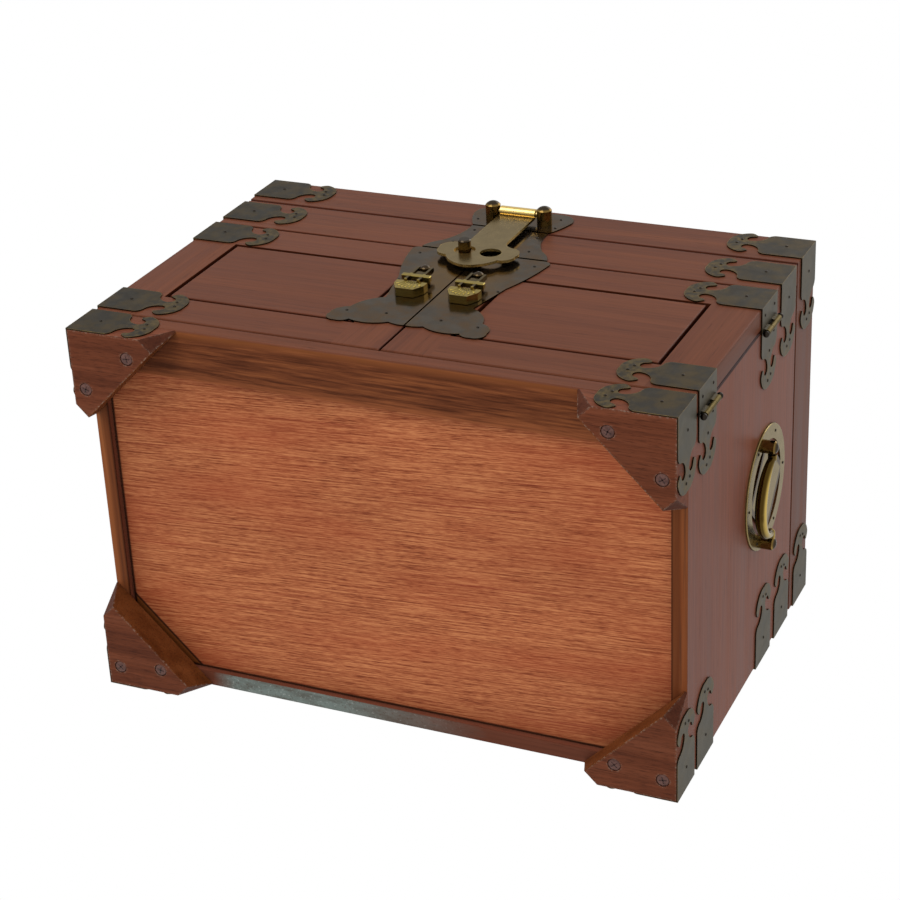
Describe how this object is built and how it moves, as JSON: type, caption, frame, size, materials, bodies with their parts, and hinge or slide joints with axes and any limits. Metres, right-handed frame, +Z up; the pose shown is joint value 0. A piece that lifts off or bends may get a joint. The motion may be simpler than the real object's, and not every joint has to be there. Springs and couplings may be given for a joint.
{
  "type": "jewellery chest",
  "caption": "Brass-bound hardwood jewellery chest on corner feet: lid with a hasp, two front doors over drawers, a bail handle on each side.",
  "frame": {"origin": "on the floor plane, under the middle of the whole object's bounding box", "axes": "+Z up as the chest stands on its feet, -Y out of the front with the doors, +X to the viewer's right of the front"},
  "size_m": [0.318, 0.2082, 0.212],
  "materials": {
    "rosewood": "satin lacquer",
    "plywood": "thin stain",
    "aged_brass": "patinated, rubbed bright on edges",
    "bright_brass": "polished",
    "dark_bronze": "dark patina",
    "screw_steel": "dull zinc",
    "mirror_glass": "silvered"
  },
  "bodies": {
    "case": {"side_panel_left": "rosewood", "side_panel_right": "rosewood", "back_panel": "rosewood", "front_top_rail": "rosewood", "base_rail": "rosewood", "bottom_panel": "plywood", "tray_floor": "rosewood", "drawer_shelf": "rosewood", "foot_front_left": "rosewood", "foot_front_right": "rosewood", "foot_back_left": "rosewood", "foot_back_right": "rosewood", "foot_screws": "screw_steel", "case_mounts_front_left": "aged_brass", "case_mounts_front_right": "aged_brass", "case_mounts_back_left": "aged_brass", "case_mounts_back_right": "aged_brass", "door_hinge_leaves": "aged_brass", "door_hinge_pins": "dark_bronze", "lid_hinge_case_leaves": "aged_brass", "lid_hinge_pins": "dark_bronze", "lock_plate_rail": "aged_brass", "handle_plate_left": "aged_brass", "handle_plate_right": "aged_brass", "handle_posts_left": "dark_bronze", "handle_posts_right": "dark_bronze"},
    "lid": {"lid_frame": "rosewood", "lid_top_panel": "rosewood", "lid_mirror": "mirror_glass", "lid_mounts": "aged_brass", "lid_hinge_lid_leaves": "aged_brass", "lock_plate_lid": "aged_brass", "hasp_posts": "dark_bronze", "hasp_rod": "bright_brass"},
    "hasp": {"hasp": "aged_brass", "hasp_knob": "dark_bronze"},
    "door_left": {"door_frame_left": "rosewood", "door_panel_left": "rosewood", "door_mounts_left": "aged_brass", "lock_plate_door_left": "aged_brass", "pull_stud_left": "dark_bronze"},
    "pull_left": {"pull_drop_left": "aged_brass"},
    "bail_left": {"handle_bail_left": "aged_brass"},
    "door_right": {"door_frame_right": "rosewood", "door_panel_right": "rosewood", "door_mounts_right": "aged_brass", "lock_plate_door_right": "aged_brass", "pull_stud_right": "dark_bronze"},
    "pull_right": {"pull_drop_right": "aged_brass"},
    "bail_right": {"handle_bail_right": "aged_brass"},
    "drawer_upper": {"drawer_front_upper": "rosewood", "drawer_box_upper": "rosewood", "drawer_bottom_upper": "plywood", "drawer_knob_upper": "bright_brass"},
    "drawer_lower": {"drawer_front_lower": "rosewood", "drawer_box_lower": "rosewood", "drawer_bottom_lower": "plywood", "drawer_knob_lower": "bright_brass"}
  },
  "joints": [
    {"name": "lid_hinge", "type": "hinge", "parent": "case", "child": "lid", "pos_m": [0, 0.10255, 0.1814], "axis": [-1, 0, 0], "range_deg": [0, 100]},
    {"name": "hasp_hinge", "type": "hinge", "parent": "lid", "child": "hasp", "pos_m": [0, -0.09945, 0.193], "axis": [-1, 0, 0], "range_deg": [0, 160]},
    {"name": "door_right_hinge", "type": "hinge", "parent": "case", "child": "door_right", "pos_m": [0.1524, -0.0818, 0.0856], "axis": [0, 0, 1], "range_deg": [0, 110]},
    {"name": "door_left_hinge", "type": "hinge", "parent": "case", "child": "door_left", "pos_m": [-0.1524, -0.0818, 0.0856], "axis": [0, 0, -1], "range_deg": [0, 110]},
    {"name": "drawer_upper_slide", "type": "slide", "parent": "case", "child": "drawer_upper", "axis": [0, -1, 0], "range_m": [0, 0.053]},
    {"name": "drawer_lower_slide", "type": "slide", "parent": "case", "child": "drawer_lower", "axis": [0, -1, 0], "range_m": [0, 0.053]},
    {"name": "pull_left_hinge", "type": "hinge", "parent": "door_left", "child": "pull_left", "pos_m": [-0.014, -0.09895, 0.108], "axis": [-1, 0, 0], "range_deg": [0, 85]},
    {"name": "pull_right_hinge", "type": "hinge", "parent": "door_right", "child": "pull_right", "pos_m": [0.014, -0.09895, 0.108], "axis": [-1, 0, 0], "range_deg": [0, 85]},
    {"name": "bail_left_hinge", "type": "hinge", "parent": "case", "child": "bail_left", "pos_m": [-0.1561, 0.00315, 0.124], "axis": [0, 1, 0], "range_deg": [0, 170]},
    {"name": "bail_right_hinge", "type": "hinge", "parent": "case", "child": "bail_right", "pos_m": [0.1561, 0.00315, 0.124], "axis": [0, -1, 0], "range_deg": [0, 170]}
  ],
  "couplings": [
    {"joint": "hasp_hinge", "follows": "lid_hinge", "ratio": 1.6},
    {"joint": "door_right_hinge", "follows": "lid_hinge", "ratio": 1.1},
    {"joint": "door_left_hinge", "follows": "lid_hinge", "ratio": 1.1},
    {"joint": "drawer_upper_slide", "follows": "lid_hinge", "m_per_rad": 0.03},
    {"joint": "drawer_lower_slide", "follows": "lid_hinge", "m_per_rad": 0.03}
  ]
}
